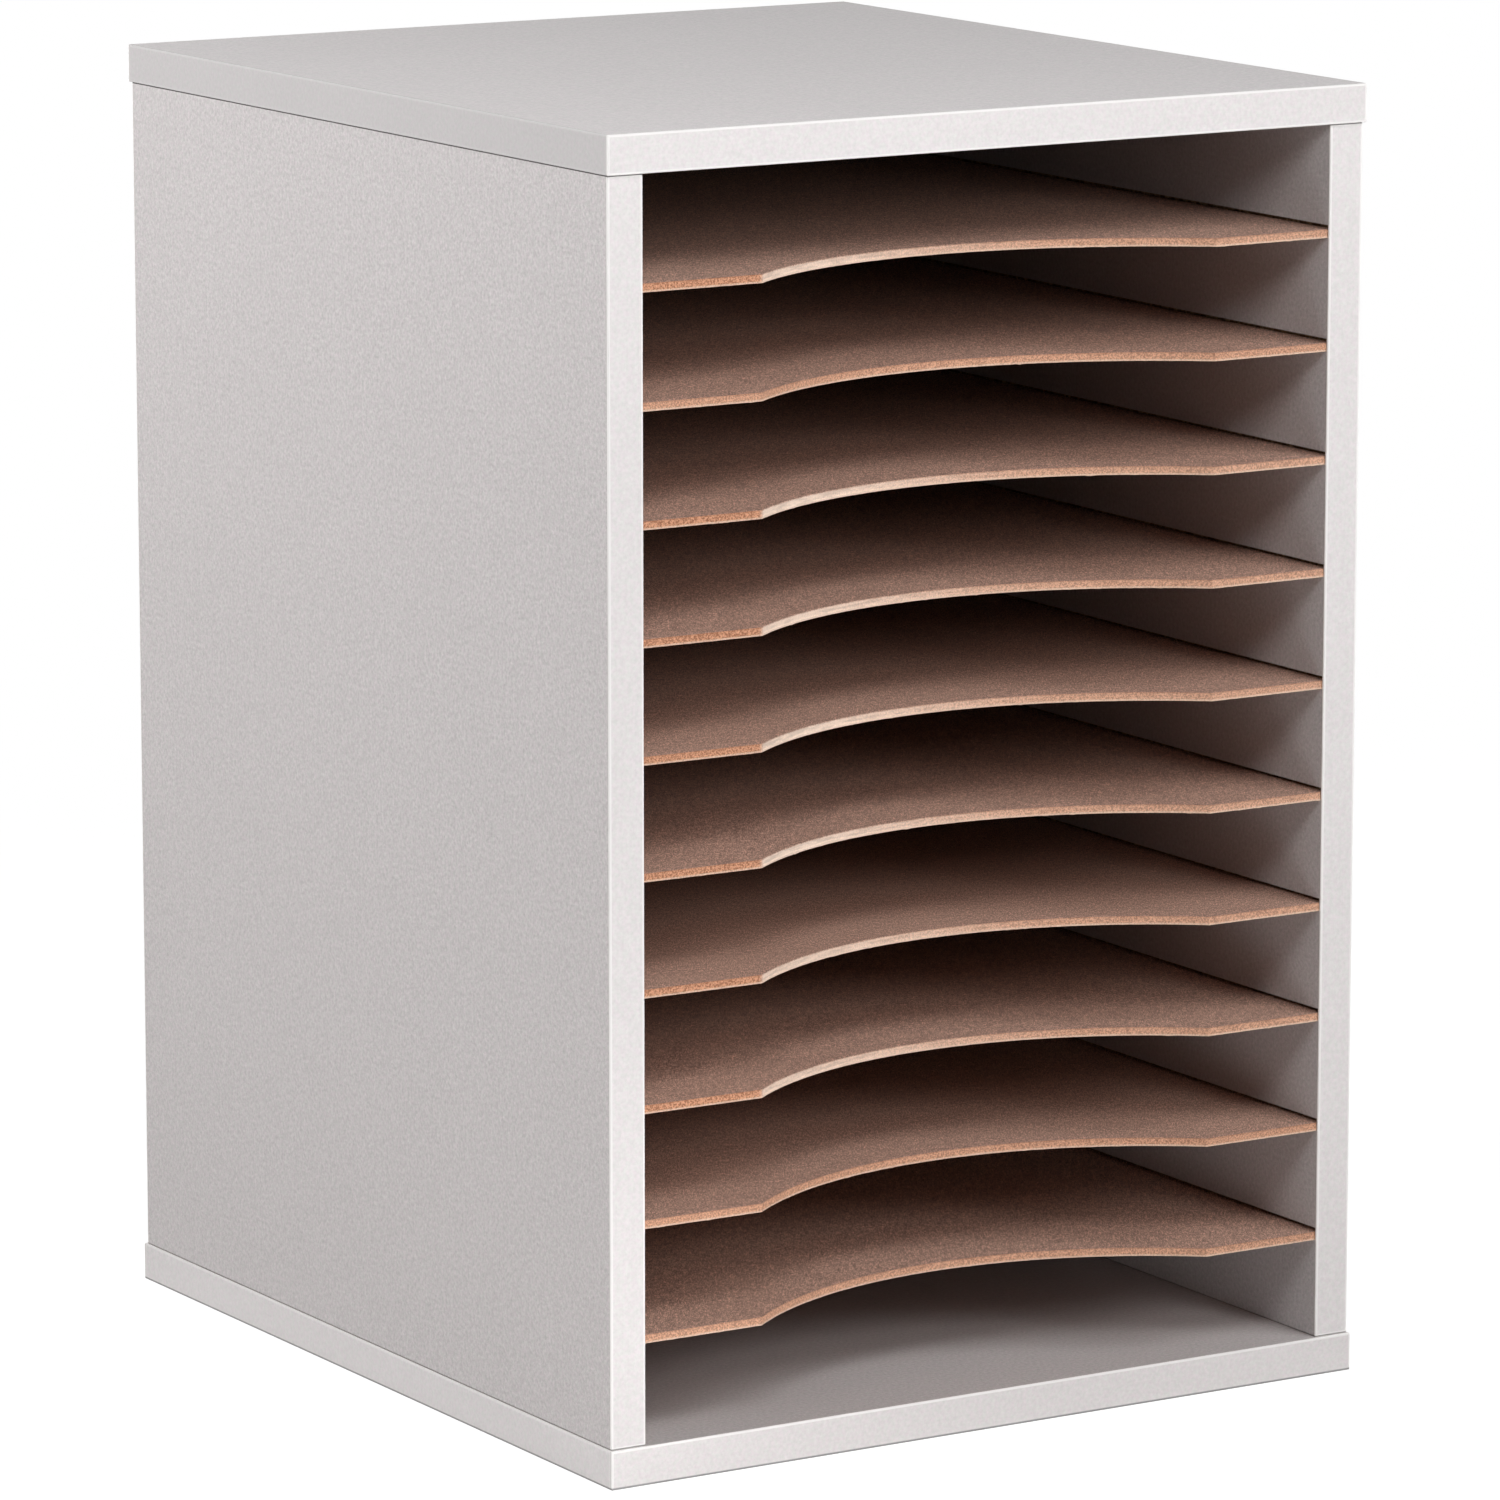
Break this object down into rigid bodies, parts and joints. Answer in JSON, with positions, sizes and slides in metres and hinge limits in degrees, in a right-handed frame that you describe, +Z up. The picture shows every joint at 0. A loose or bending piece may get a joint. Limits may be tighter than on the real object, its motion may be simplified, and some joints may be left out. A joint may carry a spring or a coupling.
{
  "type": "desktop sorter",
  "caption": "Open-fronted upright desktop case of light grey laminated board, divided by thin hardboard shelves with curved thumb notches into low letter-size compartments.",
  "frame": {"origin": "middle of the underside of the bottom panel, on the surface that the sorter stands on", "axes": "+Z up, along the height; +X to the right seen from the front; the open front faces -Y"},
  "size_m": [0.27, 0.302, 0.4064],
  "materials": {
    "laminated_board": "satin",
    "edge_band": "satin",
    "hardboard_shelf": "matte",
    "hardboard_back": "matte",
    "dowel_wood": "matte",
    "nail_steel": "satin"
  },
  "bodies": {
    "root": {"top_panel": "laminated_board", "bottom_panel": "laminated_board", "left_side_panel": "laminated_board", "right_side_panel": "laminated_board", "top_front_band": "edge_band", "top_rear_band": "edge_band", "top_left_band": "edge_band", "top_right_band": "edge_band", "bottom_front_band": "edge_band", "bottom_rear_band": "edge_band", "bottom_left_band": "edge_band", "bottom_right_band": "edge_band", "left_side_front_band": "edge_band", "left_side_rear_band": "edge_band", "right_side_front_band": "edge_band", "right_side_rear_band": "edge_band", "back_panel": "hardboard_back", "shelf_01": "hardboard_shelf", "shelf_02": "hardboard_shelf", "shelf_03": "hardboard_shelf", "shelf_04": "hardboard_shelf", "shelf_05": "hardboard_shelf", "shelf_06": "hardboard_shelf", "shelf_07": "hardboard_shelf", "shelf_08": "hardboard_shelf", "shelf_09": "hardboard_shelf", "shelf_10": "hardboard_shelf", "top_left_dowels": "dowel_wood", "top_right_dowels": "dowel_wood", "bottom_left_dowels": "dowel_wood", "bottom_right_dowels": "dowel_wood", "back_panel_nails": "nail_steel"}
  },
  "joints": []
}
